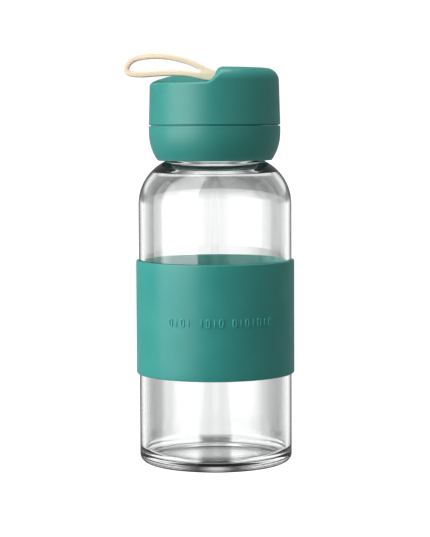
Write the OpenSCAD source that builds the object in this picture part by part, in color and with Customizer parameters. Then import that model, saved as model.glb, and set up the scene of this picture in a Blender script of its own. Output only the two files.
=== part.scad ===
// Glass water bottle: a round-shouldered glass, a silicone grip sleeve, a screw-on drinking
// collar, and a screw cap with a scooped top that carries a silicone strap on a steel pin.
// Millimetres. +Z is up, the origin is the centre of the base, on the surface it stands on.
// The strap lies towards -X, and the scoop in the cap opens towards -X and -Y.

/* [Glass] */
// Outside diameter of the glass body
body_d = 66; // [56:0.5:84]
// Height of the glass from its base to the rim of its mouth
glass_h = 141.5; // [112:0.5:200]
// Thickness of the glass wall
glass_wall = 2.2; // [1.6:0.1:3]
// Thickness of the glass floor at its edge
floor_t = 3.6; // [2.8:0.1:6]
// Radius of the rounded corner at the base
base_corner_r = 3.5; // [2:0.1:6]
// Height of the hollow pushed up under the base
push_up = 1.2; // [0.4:0.1:2]
// Radius of the shoulder
shoulder_r = 20.5; // [14:0.5:26]
// Outside diameter of the neck
neck_d = 42; // [36:0.5:50]
// Height of the straight neck above the shoulder
neck_h = 11.2; // [10:0.1:16]
// Radius of the hollow corner between the shoulder and the neck
neck_fillet_r = 1.4; // [0.6:0.1:3]
// How far up the inside of the shoulder the thick glass under the neck starts, in degrees
ledge_turn = 45; // [42:1:58]
// How steeply the thick glass under the neck rises inwards, in degrees
ledge_rise = 16; // [8:1:24]

/* [Sleeve] */
// Height of the silicone sleeve
sleeve_h = 48.8; // [30:0.1:60]
// Thickness of the sleeve
sleeve_wall = 1.2; // [0.8:0.1:3]
// Height of the sleeve's lower edge above the base
sleeve_z = 38.8; // [10:0.1:45]
// Radius of the sleeve's rounded edges
sleeve_edge_r = 0.5; // [0.2:0.05:0.8]

/* [Threads] */
// Rise of a thread in one turn, on the neck and on the spout
thread_lead = 6; // [4:0.5:8]
// Number of threads that start side by side
thread_starts = 2; // [1:1:3]
// Turns of each thread
thread_turns = 0.8; // [0.4:0.05:1]
// Height of a thread above its wall
thread_depth = 1.1; // [0.7:0.05:1.5]
// Free space between the tip of a thread and the wall that faces it
thread_gap = 0.3; // [0.15:0.05:0.6]

/* [Collar] */
// Height of the collar's outer skirt
collar_h = 14.8; // [12:0.1:20]
// Radius of the curve that draws the skirt in at its foot
collar_curve_r = 20; // [14:0.5:40]
// Thickness of the outer skins of the collar and the cap
skin = 2.2; // [1.5:0.1:3]
// Thickness of the deck that closes over the glass rim
deck_t = 2.3; // [1.6:0.1:4]
// Inside diameter of the drinking spout
spout_bore = 33.8; // [26:0.2:36]
// Thickness of the spout wall
spout_wall = 2.5; // [1.8:0.1:4]
// Height of the spout above the deck
spout_h = 11.3; // [9:0.1:12]
// Thickness of the two silicone seals
seal_t = 1.4; // [1:0.1:2.5]

/* [Cap] */
// Outside diameter of the lid at the seam between the collar and the cap
lid_d = 56.5; // [54:0.1:62]
// Height of the cap above the seam, at the middle of its domed top
cap_h = 24.8; // [24:0.1:32]
// How much narrower the cap is at its top corner
cap_draft = 0.7; // [0:0.05:1.5]
// Radius of the dome on the top
dome_r = 400; // [200:5:800]
// Radius of the cap's top corner
cap_corner_r = 5; // [3:0.1:7]
// Width of the groove between the collar and the cap
seam_gap = 0.4; // [0.2:0.05:1]
// Depth of the scoop below the middle of the top
scoop_depth = 6.9; // [6:0.1:8]
// Distance from the axis to the upright wall of the scoop
scoop_wall_x = 0.6; // [-2:0.1:3]
// Radius of the hollow corner between the scoop's floor and its wall
scoop_fillet_r = 5; // [3:0.1:6]
// Distance from the axis, towards the back, at which the scoop's floor starts to rise
scoop_rise_y = -5; // [-8:0.5:4]
// Radius of the curve along which the scoop's floor rises
scoop_rise_r = 66; // [55:1:120]
// Thickness of the disc that closes the liner
liner_top_t = 1.8; // [1.2:0.1:2.5]

/* [Strap] */
// Width of the strap
strap_w = 7; // [5:0.1:10]
// Thickness of the strap
strap_t = 2.5; // [1.8:0.1:3]
// Diameter of the steel pin
pin_d = 2; // [1.6:0.1:2.4]
// Length of the steel pin
pin_len = 12.6; // [11:0.1:16]
// Diameter of the strap's eye
eye_d = 4.4; // [4:0.1:5]
// Distance of the pin beyond the scoop's wall
pin_inset = 0.9; // [0.4:0.1:1.5]
// Height of the pin above the scoop's floor
pin_lift = 2.7; // [2.5:0.1:3.2]

/* [Hidden] */
$fn = 96;

run_clear = 0.05;   // radial clearance of a part that slides or turns on another
fit_clear = 0.1;    // gap all round a part that is pressed or glued into another
swing_clear = 0.4;  // free space round the strap in its pocket
tiny = 0.01;        // overlap that keeps touching cuts clean

lid_green = "seagreen";

// Glass
body_r = body_d / 2;
neck_r = neck_d / 2;
mouth_r = neck_r - glass_wall;
neck_z = glass_h - neck_h;
shoulder_drop = min(body_r - neck_r, shoulder_r);
shoulder_z = neck_z - sqrt(2 * shoulder_r * shoulder_drop - shoulder_drop * shoulder_drop);
rim_r = 0.7;        // rounding of the glass rim and of the spout rim

// Threads
thread_pitch = thread_lead / thread_starts;
ridge_base = 0.5 * thread_pitch;    // width of a ridge at its wall
ridge_tip = 0.22 * thread_pitch;    // width of a ridge at its tip
step_angle = 10;                    // a ridge has one ring of points every 10 degrees
taper_steps = 3;                    // rings over which a ridge runs out at each end
sink = 0.3;                         // depth that a ridge's foot reaches into its wall

// Collar and mouthpiece
deck_z = glass_h + seal_t;
deck_top = deck_z + deck_t;
collar_z = deck_top - collar_h;
lid_r = lid_d / 2;
skirt_in = neck_r + thread_depth + thread_gap;
skirt_wall = 1.3;
skirt_out = skirt_in + skirt_wall;
skirt_z = collar_z + 1.2;
deck_r = lid_r - skin - fit_clear;
spout_in = spout_bore / 2;
spout_out = spout_in + spout_wall;
spout_top = deck_top + spout_h;
foot_t = 2;         // thickness of the inward lip at the collar's foot
collar_edge_r = 0.4;

// Cap, liner and seal
cap_z = deck_top + seam_gap;
cap_top = cap_z + cap_h;
liner_in = spout_out + thread_depth + thread_gap;
liner_wall = 1.9;
liner_z = cap_z + 0.8;
seal_top = spout_top + seal_t;
liner_top = seal_top + liner_top_t;
cap_bore_r = lid_r - skin;
corner_x = lid_r - cap_draft - cap_corner_r;
dome_z = cap_top - dome_r;
corner_z = dome_z + sqrt(pow(dome_r - cap_corner_r, 2) - corner_x * corner_x);
scoop_z = cap_top - scoop_depth;
cavity_r = cap_bore_r - 3;
foot_ring = 1.4;    // thickness of the ring under the cap's wall, on the inner side
seat_gap = 0.03;    // space between that ring and the deck when the cap is screwed home
boss_x = 9;         // half length of the solid block that holds the pin
reach = 2 * body_d; // longer than any cut has to be

// Strap and pin
pin_r = pin_d / 2;
pin_x = scoop_wall_x + pin_inset;
pin_z = scoop_z + pin_lift;
eye_r = eye_d / 2;
pocket_w = strap_w + 2 * swing_clear;
pocket_back = 3.9;  // room behind the pin for the strap when it stands up
strap_edge_r = 0.6;

// The middle line of the strap's loop, from the top of its root round its end to the underside
// of its root, measured from the pin
strap_line = [[-6.4, 3.5], [-11.8, 6.1], [-17.4, 7.8], [-23, 8.8], [-28.5, 8.95], [-32.9, 8.45],
              [-36.2, 7.5], [-38.5, 5.6], [-39.3, 3.4], [-38.2, 1.75], [-35.4, 1.2], [-31.5, 1.1],
              [-26, 1.5], [-20, 1.7], [-14, 1.5], [-9.3, 0.7], [-5.4, -0.3]];
line_steps = 3;     // points between two that are listed
crotch = [-8.6, 2.5];               // centre of the round end of the loop's opening at its root
crotch_r = 1.9 - strap_t / 2;       // radius of that end

// A rectangle from (x0, z0) to (x1, z1) with all corners rounded
module round_rect(x0, x1, z0, z1, r) {
    translate([x0 + r, z0]) square([x1 - x0 - 2 * r, z1 - z0]);
    translate([x0, z0 + r]) square([x1 - x0, z1 - z0 - 2 * r]);
    for (x = [x0 + r, x1 - r], z = [z0 + r, z1 - r]) translate([x, z]) circle(r);
}

// Half section of the vessel, drawn in by inset from the outside of the glass, with its floor
// at foot_z and its lower corner rounded by corner_r
module vessel(inset, foot_z, corner_r, top_z) {
    r = body_r - inset;
    centre_x = body_r - shoulder_r;
    fillet = neck_fillet_r + inset;
    fillet_x = neck_r + neck_fillet_r;
    flat = fillet_x < centre_x;
    fillet_z = shoulder_z + (flat ? shoulder_r + neck_fillet_r
        : sqrt(pow(shoulder_r + neck_fillet_r, 2) - pow(fillet_x - centre_x, 2)));
    share = (shoulder_r - inset) / (shoulder_r + neck_fillet_r);
    touch = flat ? [fillet_x, shoulder_z + shoulder_r - inset]
        : [centre_x + (fillet_x - centre_x) * share, shoulder_z + (fillet_z - shoulder_z) * share];
    translate([0, foot_z]) square([r - corner_r, corner_r + tiny]);
    intersection() {
        translate([r - corner_r, foot_z + corner_r]) circle(corner_r);
        translate([0, foot_z]) square([r, corner_r + tiny]);
    }
    translate([0, foot_z + corner_r]) square([r, shoulder_z - foot_z - corner_r]);
    intersection() {
        translate([centre_x, shoulder_z]) circle(shoulder_r - inset, $fn = 180);
        translate([0, shoulder_z - tiny]) square([r, shoulder_r + 1]);
    }
    translate([0, shoulder_z - tiny])
        square([max(centre_x, tiny), shoulder_r - inset + tiny]);
    square_top = top_z - fillet_z;
    translate([0, shoulder_z]) square([neck_r - inset, fillet_z - shoulder_z + square_top]);
    difference() {
        polygon([[0, shoulder_z], [touch[0], shoulder_z], touch, [fillet_x, fillet_z], [0, fillet_z]]);
        translate([fillet_x, fillet_z]) circle(fillet);
    }
}

// The glass that stays thick where the shoulder runs into the neck: its inside is a flat ledge
module neck_ledge() {
    inner_r = shoulder_r - glass_wall;
    start = [body_r - shoulder_r + inner_r * cos(ledge_turn),
             shoulder_z + inner_r * sin(ledge_turn)];
    corner_z = start[1] + (start[0] - mouth_r) * tan(ledge_rise);
    ease = 0.8;
    polygon([[mouth_r, corner_z + ease],
             [mouth_r + ease * cos(ledge_rise), corner_z - ease * sin(ledge_rise)],
             start, [start[0] + 2, start[1]], [start[0] + 2, neck_z + 3], [mouth_r, neck_z + 3]]);
}

// One ridge that climbs a wall of radius r, outwards for side 1 and inwards for side -1
module ridge(r, z, side) {
    steps = round(360 * thread_turns / step_angle);
    foot = r - side * sink;
    points = [for (i = [0 : steps])
        let (a = i * step_angle,
             out = min(1, min(i, steps - i) / taper_steps + 0.15),
             tip = r + side * thread_depth * out,
             up = z + thread_lead * a / 360)
        each [[foot * cos(a), foot * sin(a), up - ridge_base / 2],
              [tip * cos(a), tip * sin(a), up - ridge_tip / 2],
              [tip * cos(a), tip * sin(a), up + ridge_tip / 2],
              [foot * cos(a), foot * sin(a), up + ridge_base / 2]]];
    wall = [for (i = [0 : steps - 1], k = [0 : 3])
        let (a = 4 * i + k, b = 4 * i + (k + 1) % 4)
        side > 0 ? [a, a + 4, b + 4, b] : [a, b, b + 4, a + 4]];
    ends = side > 0 ? [[3, 2, 1, 0], [for (k = [0 : 3]) 4 * steps + k]]
        : [[0, 1, 2, 3], [for (k = [3 : -1 : 0]) 4 * steps + k]];
    polyhedron([for (p = points) p], concat([for (f = wall) [f[3], f[2], f[1], f[0]]],
                                           [for (f = ends) [f[3], f[2], f[1], f[0]]]), 4);
}

module thread(r, z, side) {
    for (s = [0 : thread_starts - 1]) rotate([0, 0, s * 360 / thread_starts]) ridge(r, z, side);
}

neck_thread_z = skirt_z + 1.6;      // where a ridge on the neck starts
skirt_thread_z = neck_thread_z + thread_pitch / 2;
spout_thread_z = liner_z + 1.4;     // where a ridge on the spout starts
liner_thread_z = spout_thread_z + thread_pitch / 2;

module glass_body() {
    push_r = body_r - base_corner_r - 3.5;
    push_ball = (push_r * push_r + push_up * push_up) / (2 * push_up);
    inner_corner = 4;
    color("lightcyan", 0.35) {
        rotate_extrude($fn = 180) difference() {
            union() {
                vessel(0, 0, base_corner_r, glass_h - rim_r);
                round_rect(mouth_r, neck_r, neck_z + 2, glass_h, rim_r);
            }
            difference() {
                vessel(glass_wall, floor_t, inner_corner, glass_h + 1);
                neck_ledge();
            }
            intersection() {
                translate([0, push_up - push_ball]) circle(push_ball, $fn = 360);
                translate([0, -1]) square([push_r, push_up + 1]);
            }
        }
        thread(neck_r, neck_thread_z, 1);
    }
}

module grip_sleeve() {
    inner = body_r + run_clear;
    color("mediumseagreen") translate([0, 0, sleeve_z])
        rotate_extrude($fn = 180) round_rect(inner, body_r + sleeve_wall, 0, sleeve_h, sleeve_edge_r);
}

// The collar's outside: straight at its top and drawn in along an arc at its foot
module collar_outline(inset) {
    curve_z = deck_top - 3.2;
    intersection() {
        translate([0, collar_z + inset]) square([lid_r - inset, collar_h - inset]);
        union() {
            translate([0, curve_z]) square([lid_r - inset, deck_top - curve_z]);
            translate([lid_r - collar_curve_r, curve_z]) circle(collar_curve_r - inset, $fn = 180);
        }
    }
}

module collar_shell() {
    color(lid_green) rotate_extrude($fn = 180) difference() {
        collar_outline(0);
        intersection() {
            collar_outline(skin);
            translate([0, collar_z + foot_t]) square([lid_r, collar_h]);
        }
        translate([0, collar_z - 1]) square([skirt_out + fit_clear, collar_h + 2]);
        translate([0, deck_z - fit_clear]) square([deck_r + fit_clear, deck_t + 1]);
    }
}

module mouthpiece() {
    color(lid_green) {
        rotate_extrude($fn = 180) {
            translate([skirt_in, skirt_z]) square([skirt_wall, deck_z - skirt_z + tiny]);
            translate([spout_in, deck_z]) square([deck_r - spout_in, deck_t]);
            round_rect(spout_in, spout_out, deck_z, spout_top, rim_r);
        }
        thread(skirt_in, skirt_thread_z, -1);
        thread(spout_out, spout_thread_z, 1);
    }
}

module neck_seal() {
    color("whitesmoke") rotate_extrude()
        round_rect(mouth_r + 0.2, skirt_in - 0.5, glass_h, deck_z, 0.3);
}

module cap_outside() {
    rotate_extrude($fn = 180) {
        polygon([[0, cap_z], [lid_r, cap_z], [lid_r - cap_draft, corner_z], [0, corner_z]]);
        intersection() {
            translate([0, dome_z]) circle(dome_r, $fn = 720);
            translate([0, corner_z - tiny]) square([corner_x, cap_h]);
        }
        intersection() {
            translate([corner_x, corner_z]) circle(cap_corner_r);
            translate([corner_x - tiny, corner_z - tiny])
                square([cap_corner_r + 1, cap_corner_r + 1]);
        }
    }
}

// The space above the scoop's floor, left of its wall: a shelf that is flat at the front, and
// that rises along an arc at the back
module scoop() {
    intersection() {
        translate([0, reach / 2, 0]) rotate([90, 0, 0]) linear_extrude(reach) union() {
            translate([scoop_wall_x - reach, scoop_z + scoop_fillet_r]) square([reach, reach]);
            translate([scoop_wall_x - reach, scoop_z])
                square([reach - scoop_fillet_r, scoop_fillet_r + tiny]);
            translate([scoop_wall_x - scoop_fillet_r, scoop_z + scoop_fillet_r])
                circle(scoop_fillet_r);
        }
        rotate([90, 0, 90]) linear_extrude(2 * reach, center = true) {
            translate([-reach, scoop_z]) square([reach + scoop_rise_y, 2 * scoop_rise_r]);
            intersection() {
                translate([scoop_rise_y, scoop_z + scoop_rise_r]) circle(scoop_rise_r, $fn = 360);
                translate([scoop_rise_y, 0]) square([reach, 3 * reach]);
            }
        }
    }
}

// The slot in which the strap's eye turns, open to the scoop and to the top
module strap_pocket() {
    room = eye_r + swing_clear;
    translate([pin_x, pocket_w / 2, pin_z]) rotate([90, 0, 0]) linear_extrude(pocket_w) {
        circle(room);
        translate([-room - scoop_fillet_r, 0]) square([room + scoop_fillet_r, reach]);
        translate([-room - 2, -room]) square([room + 2, room + tiny]);
        translate([-tiny, 0]) square([pocket_back, reach]);
    }
}

module cap_shell() {
    color(lid_green) difference() {
        union() {
            cap_outside();
            // foot ring, which closes the groove between the cap and the collar from inside
            translate([0, 0, deck_top + seat_gap])
                cylinder(r = cap_bore_r + foot_ring, h = seam_gap);
        }
        scoop();
        strap_pocket();
        translate([0, 0, cap_z - 1]) cylinder(r = cap_bore_r, h = liner_top - cap_z + 1);
        // hollow under the high side of the top
        intersection() {
            translate([0, 0, liner_top - tiny])
                cylinder(r = cavity_r, h = cap_top - skin - 1 - liner_top);
            translate([boss_x, -reach, 0]) cube([reach, 2 * reach, reach]);
        }
        // hollow under the scoop's floor
        intersection() {
            translate([0, 0, liner_top - tiny])
                cylinder(r = cavity_r, h = scoop_z - skin + 0.3 - liner_top);
            translate([-boss_x - reach, -reach, 0]) cube([reach, 2 * reach, reach]);
        }
        // seat of the pin, open downwards
        translate([pin_x, pin_len / 2 + fit_clear, pin_z]) rotate([90, 0, 0])
            cylinder(r = pin_r + run_clear, h = pin_len + 2 * fit_clear, $fn = 48);
        for (side = [-1, 1]) pin_slot(side, pin_r + run_clear, fit_clear);
    }
}

// The upright channel under one end of the pin, and the post that fills it
module pin_slot(side, half, gap) {
    inner = pocket_w / 2 + 0.8 - gap;
    outer = pin_len / 2 + gap;
    translate([pin_x - half, side > 0 ? inner : -outer, liner_top - tiny])
        cube([2 * half, outer - inner, pin_z - liner_top - (gap > 0 ? 0 : pin_r)]);
}

module cap_liner() {
    color("whitesmoke") {
        rotate_extrude($fn = 180) {
            translate([liner_in, liner_z]) square([liner_wall, seal_top - liner_z + tiny]);
            translate([0, seal_top]) square([cap_bore_r - fit_clear, liner_top_t]);
        }
        thread(liner_in, liner_thread_z, -1);
        for (side = [-1, 1]) pin_slot(side, pin_r - fit_clear, 0);
    }
}

module cap_seal() {
    color("whitesmoke") rotate_extrude()
        round_rect(spout_in - 0.6, liner_in - 0.5, spout_top, seal_top, 0.3);
}

// Points on a smooth curve through the listed ones
function curve(p, i, t) =
    let (n = len(p), a = p[max(i - 1, 0)], b = p[i], c = p[i + 1], d = p[min(i + 2, n - 1)])
    0.5 * (2 * b + t * (c - a) + t * t * (2 * a - 5 * b + 4 * c - d)
        + t * t * t * (3 * b - a - 3 * c + d));
function smooth_line(p) =
    concat([for (i = [0 : len(p) - 2], k = [0 : line_steps - 1]) curve(p, i, k / line_steps)],
           [p[len(p) - 1]]);
function beside(p, i, off) =
    let (a = p[max(i - 1, 0)], b = p[min(i + 1, len(p) - 1)], d = (b - a) / norm(b - a))
    p[i] + off * [-d[1], d[0]];

// Side view of the strap: its loop, its tapered root and its eye
module strap_outline() {
    line = smooth_line(strap_line);
    outer = [for (i = [0 : len(line) - 1]) beside(line, i, -strap_t / 2)];
    inner = [for (i = [0 : len(line) - 1]) beside(line, i, strap_t / 2)];
    difference() {
        polygon(concat([[0, eye_r]], outer, [[-1.4, -eye_r + 0.5], [0, -eye_r]]));
        polygon(concat([for (p = inner) if (p[0] < crotch[0] - 0.5) p],
                       [for (a = [-100 : 16 : 60]) crotch + crotch_r * [cos(a), sin(a)]]));
    }
    circle(eye_r);
}

module strap() {
    color("bisque") translate([pin_x, strap_w / 2, pin_z]) rotate([90, 0, 0])
        linear_extrude(strap_w) difference() {
            strap_outline();
            circle(pin_r + run_clear, $fn = 48);
        }
}

module strap_pin() {
    color("silver") translate([pin_x, pin_len / 2, pin_z])
        rotate([90, 0, 0]) cylinder(r = pin_r, h = pin_len, $fn = 48);
}

glass_body();
grip_sleeve();
collar_shell();
mouthpiece();
neck_seal();
cap_shell();
cap_liner();
cap_seal();
strap();
strap_pin();
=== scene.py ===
import math

import bmesh
import bpy
import numpy as np
from mathutils import Matrix, Vector


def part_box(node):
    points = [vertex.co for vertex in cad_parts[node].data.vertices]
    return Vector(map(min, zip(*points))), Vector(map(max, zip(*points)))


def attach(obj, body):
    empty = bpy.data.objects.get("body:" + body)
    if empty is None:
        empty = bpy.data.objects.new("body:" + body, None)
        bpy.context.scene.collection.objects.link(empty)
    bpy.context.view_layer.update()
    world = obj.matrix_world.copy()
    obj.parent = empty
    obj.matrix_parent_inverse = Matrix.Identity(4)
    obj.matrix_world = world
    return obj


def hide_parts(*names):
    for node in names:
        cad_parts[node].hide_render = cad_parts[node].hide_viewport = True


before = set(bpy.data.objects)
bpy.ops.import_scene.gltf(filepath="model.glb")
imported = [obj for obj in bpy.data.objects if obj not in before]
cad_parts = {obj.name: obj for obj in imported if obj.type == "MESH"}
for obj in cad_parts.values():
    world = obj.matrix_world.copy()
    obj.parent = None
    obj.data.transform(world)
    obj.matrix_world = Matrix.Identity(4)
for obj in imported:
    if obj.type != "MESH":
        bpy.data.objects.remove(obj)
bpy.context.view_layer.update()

# The camera stands in front of the bottle, level with the top of the collar, and looks
# slightly down on it through a long lens.
scene = bpy.context.scene
CAMERA_PLACE = (-0.0001, -0.784, 0.1455)
LOOK_DOWN = 4.51
CAMERA_ROLL = -0.27
camera = bpy.data.objects.new("camera", bpy.data.cameras.new("camera"))
scene.collection.objects.link(camera)
camera.data.lens = 121.9
camera.data.sensor_width = 36
camera.data.clip_start = 0.01
camera.matrix_world = (
    Matrix.Translation(CAMERA_PLACE)
    @ Matrix.Rotation(math.radians(90 - LOOK_DOWN), 4, "X")
    @ Matrix.Rotation(math.radians(CAMERA_ROLL), 4, "Z")
)
scene.camera = camera

# The studio: a floor and a wall of light round it, which both look white to the camera. Seen
# through the glass they are dark about ten degrees to the side and dim at the horizon, and a
# painted shadow, a dark strip, runs from front to back on the floor under the middle of the bottle.
scene.view_settings.view_transform = "Standard"
STUDIO_WHITE = 1.1
SKY_LIGHT = 0.25
HORIZON = 0.45
# Painted shadow: how dimly the floor's strip under the bottle glows through the glass, its half
# width and its reach.
SHADOW_STRIP_GLOW = 0.05
SHADOW_STRIP_HALF = 0.0055
SHADOW_STRIP_REACH = 0.034
FADES = (
    (0, 0.88), (2.5, 0.84), (4, 0.6), (6.4, 0.34), (9, 0.1), (12, 0.16), (16, 0.42), (22, 0.98),
)


def maths(tree, operation, *values):
    """A maths node with its values, each a number or a socket, and its result."""
    node = tree.nodes.new("ShaderNodeMath")
    node.operation = operation
    for socket, value in zip(node.inputs, values):
        if isinstance(value, (int, float)):
            socket.default_value = value
        else:
            tree.links.new(value, socket)
    return node.outputs[0]


def mapped(tree, value, low, high, to_low, to_high):
    """A value carried from one range to another, and held at its ends."""
    node = tree.nodes.new("ShaderNodeMapRange")
    tree.links.new(value, node.inputs["Value"])
    ends = {"From Min": low, "From Max": high, "To Min": to_low, "To Max": to_high}
    for name, number in ends.items():
        if isinstance(number, (int, float)):
            node.inputs[name].default_value = number
        else:
            tree.links.new(number, node.inputs[name])
    return node.outputs["Result"]


def axes(tree, vector):
    """A vector's three parts, by the names X, Y and Z."""
    split = tree.nodes.new("ShaderNodeSeparateXYZ")
    tree.links.new(vector, split.inputs[0])
    return split.outputs


def side_fade(tree, way):
    """How bright the studio is in a direction, by its angle from the nearest of the four
    sides. FADES holds the angles in degrees, each with its brightness."""
    turn = maths(tree, "ARCTAN2", way["X"], way["Y"])
    turn = maths(tree, "PINGPONG", turn, math.pi / 4)
    ramp = tree.nodes.new("ShaderNodeValToRGB")
    stops = ramp.color_ramp.elements
    while len(stops) < len(FADES):
        stops.new(0.5)
    for stop, (degrees, glow) in zip(stops, FADES):
        stop.position = degrees / 45
        stop.color = (glow / 2, glow / 2, glow / 2, 1)
    tree.links.new(maths(tree, "DIVIDE", turn, math.pi / 4), ramp.inputs["Fac"])
    return maths(tree, "MULTIPLY", ramp.outputs["Color"], 2)


def by_ray(tree, seen, through, other):
    """One value for the camera, one for what is seen through glass, one for all other light."""
    rays = tree.nodes.new("ShaderNodeLightPath")
    value = mapped(tree, rays.outputs["Is Transmission Ray"], 0, 1, other, through)
    return mapped(tree, rays.outputs["Is Camera Ray"], 0, 1, value, seen)


def lit_floor():
    """The floor's dark shiny paint, which glows as the studio does. Its glow carries painted
    shadow: it throws little light upwards and least of all near the bottle, and seen through
    the glass it is dim in a strip under the middle of the bottle."""
    paint = bpy.data.materials.new("floor_paint")
    paint.use_nodes = True
    tree = paint.node_tree
    shader = tree.nodes["Principled BSDF"]
    shader.inputs["Base Color"].default_value = (0.06, 0.06, 0.06, 1)
    shader.inputs["Roughness"].default_value = 0.12
    shader.inputs["Specular IOR Level"].default_value = 0.5
    shader.inputs["Emission Color"].default_value = (1, 1, 1, 1)
    place = tree.nodes.new("ShaderNodeTexCoord").outputs["Object"]
    onwards = tree.nodes.new("ShaderNodeVectorMath")
    onwards.operation = "SCALE"
    onwards.inputs["Scale"].default_value = -1
    tree.links.new(
        tree.nodes.new("ShaderNodeNewGeometry").outputs["Incoming"], onwards.inputs[0]
    )
    way = axes(tree, onwards.outputs[0])
    length = tree.nodes.new("ShaderNodeVectorMath")
    length.operation = "LENGTH"
    tree.links.new(place, length.inputs[0])
    far = length.outputs["Value"]
    beside = maths(tree, "ABSOLUTE", axes(tree, place)["X"])
    # Painted shadow: seen through the glass, the floor glows dimly in a strip under the middle of
    # the bottle.
    shadow_strip_end = mapped(tree, far, SHADOW_STRIP_REACH, 0.05, SHADOW_STRIP_GLOW, 0.9)
    shadow_strip_side = mapped(tree, beside, SHADOW_STRIP_HALF, 0.0085, SHADOW_STRIP_GLOW, 1.0)
    shadow_strip = maths(tree, "MAXIMUM", shadow_strip_end, shadow_strip_side)
    to_horizon = mapped(tree, way["Z"], -0.035, 0.0, 1.0, HORIZON)
    glow = maths(tree, "MULTIPLY", side_fade(tree, way), shadow_strip)
    glow = maths(tree, "MULTIPLY", glow, to_horizon)
    # Painted shadow: the light the floor gives off is dimmer near the bottle, where the bottle's
    # shadow falls.
    bounce_with_painted_shadow = mapped(tree, far, 0.03, 0.06, 0.02, 0.2)
    tree.links.new(
        by_ray(tree, STUDIO_WHITE, glow, bounce_with_painted_shadow), shader.inputs["Emission Strength"]
    )
    return paint


def light_sky(tree):
    """Makes the sky glow: dim at the horizon and just above it, and bright higher up."""
    light = tree.nodes["Background"]
    light.inputs["Color"].default_value = (1, 1, 1, 1)
    way = axes(tree, tree.nodes.new("ShaderNodeTexCoord").outputs["Generated"])
    low = mapped(tree, way["Z"], 0, 0.04, HORIZON, 0.3)
    high = mapped(tree, way["Z"], 0.05, 0.15, 0.0, 1.0)
    by_height = maths(tree, "MAXIMUM", low, high)
    glow = maths(tree, "MULTIPLY", side_fade(tree, way), by_height)
    tree.links.new(by_ray(tree, STUDIO_WHITE, glow, SKY_LIGHT), light.inputs["Strength"])


bpy.ops.mesh.primitive_plane_add(size=60)
floor = bpy.context.object
floor.name = "floor"
floor.data.materials.append(lit_floor())

sky = bpy.data.worlds.new("sky")
scene.world = sky
sky.use_nodes = True
light_sky(sky.node_tree)


def soft_box(name, azimuth, distance, height, width, tall, power, mirrored=True):
    """An upright area lamp that stands round the bottle and faces it. Where mirrored is
    False it lights the pieces, but doesn't show in shiny ones."""
    lamp = bpy.data.lights.new(name, "AREA")
    lamp.shape = "RECTANGLE"
    lamp.size, lamp.size_y = width, tall
    lamp.energy = power
    thing = bpy.data.objects.new(name, lamp)
    scene.collection.objects.link(thing)
    turn = math.radians(azimuth)
    place = Vector((distance * math.sin(turn), -distance * math.cos(turn), height))
    thing.location = place
    thing.rotation_mode = "QUATERNION"
    thing.rotation_quaternion = Vector((place.x, place.y, 0)).to_track_quat("Z", "Y")
    thing.visible_camera = False
    thing.visible_glossy = mirrored
    return thing


soft_box("left_box", -56, 0.6, 1.0, 0.69, 2.4, 18)
soft_box("right_box", 34, 0.7, 0.46, 0.34, 1.32, 0.4)
soft_box("left_side_box", -90, 0.9, 0.4, 0.6, 1.0, 4, False)
soft_box("right_side_box", 95, 0.9, 0.4, 0.6, 1.0, 1.6, False)
soft_box("back_box", 180, 0.6, 0.8, 0.9, 0.6, 4, False)

# A small lamp overhead faces down. It lights the cap and the strap only, so that it doesn't
# show in the glass.
top_box = soft_box("top_box", 0, 0.05, 0.8, 0.3, 0.3, 2.6)
top_box.rotation_quaternion = (1, 0, 0, 0)
top_lit = bpy.data.collections.new("top_lit")
top_box.light_linking.receiver_collection = top_lit


# The glass body: clear soda-lime glass, blown in a mould and fire-polished, with a shallow
# hollow under its thick base and two thread ridges round its neck. Inside, the wall is
# thick where the shoulder runs into the neck.
body_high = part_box("glass_body")[1]
GLASS_R = body_high.x
GLASS_TOP = body_high.z
GLASS_WALL = 0.0022
GLASS_TINT = (0.985, 0.995, 0.99, 1)
BASE_R = 0.0035
BASE_IN_R = 0.004
BASE_IN_Z = 0.0076
RIM_R = 0.0007
NECK_R = 0.021
NECK_H = 0.0112
SHOULDER_R = 0.0205
NECK_FILLET = 0.0014
LEDGE_TURN = 45
LEDGE_RISE = 16
LEDGE_EASE = 0.0008
THREAD_LEAD = 0.006
THREAD_DEPTH = 0.0011
THREAD_FOOT = 0.0015
THREAD_TIP = 0.0007
THREAD_TURNS = 0.8
NECK_THREAD = 0.0028


def arc(cx, cz, r, start, stop, steps):
    """Points round a centre, from one angle to another in degrees."""
    return [
        (cx + r * math.cos(math.radians(a)), cz + r * math.sin(math.radians(a)))
        for a in np.linspace(start, stop, steps)
    ]


def eased(corners, steps=6):
    """A closed outline of (r, z, rounding) corners, with each corner rounded."""
    line = []
    count = len(corners)
    for i, (r, z, ease) in enumerate(corners):
        here = Vector((r, z))
        before = Vector(corners[i - 1][:2]) - here
        after = Vector(corners[(i + 1) % count][:2]) - here
        if ease <= 0 or before.length == 0 or after.length == 0:
            line.append((r, z))
            continue
        half = before.angle(after) / 2
        cut = min(ease / math.tan(half), before.length * 0.49, after.length * 0.49)
        ease = cut * math.tan(half)
        p, q = here + before.normalized() * cut, here + after.normalized() * cut
        centre = here + (before.normalized() + after.normalized()).normalized() * (
            ease / math.sin(half)
        )
        a, b = p - centre, q - centre
        sweep = a.angle(b)
        way = 1 if a.x * b.y - a.y * b.x > 0 else -1
        for k in range(steps + 1):
            t = way * sweep * k / steps
            line.append(
                (
                    centre.x + a.x * math.cos(t) - a.y * math.sin(t),
                    centre.y + a.x * math.sin(t) + a.y * math.cos(t),
                )
            )
    return line


def close_rows(line, spacing):
    """The same outline with extra points, so that no stretch is longer than spacing."""
    out = []
    for i, p in enumerate(line):
        q = line[(i + 1) % len(line)]
        n = max(1, math.ceil(math.dist(p, q) / spacing))
        out += [(p[0] + (q[0] - p[0]) * k / n, p[1] + (q[1] - p[1]) * k / n) for k in range(n)]
    return out


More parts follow.
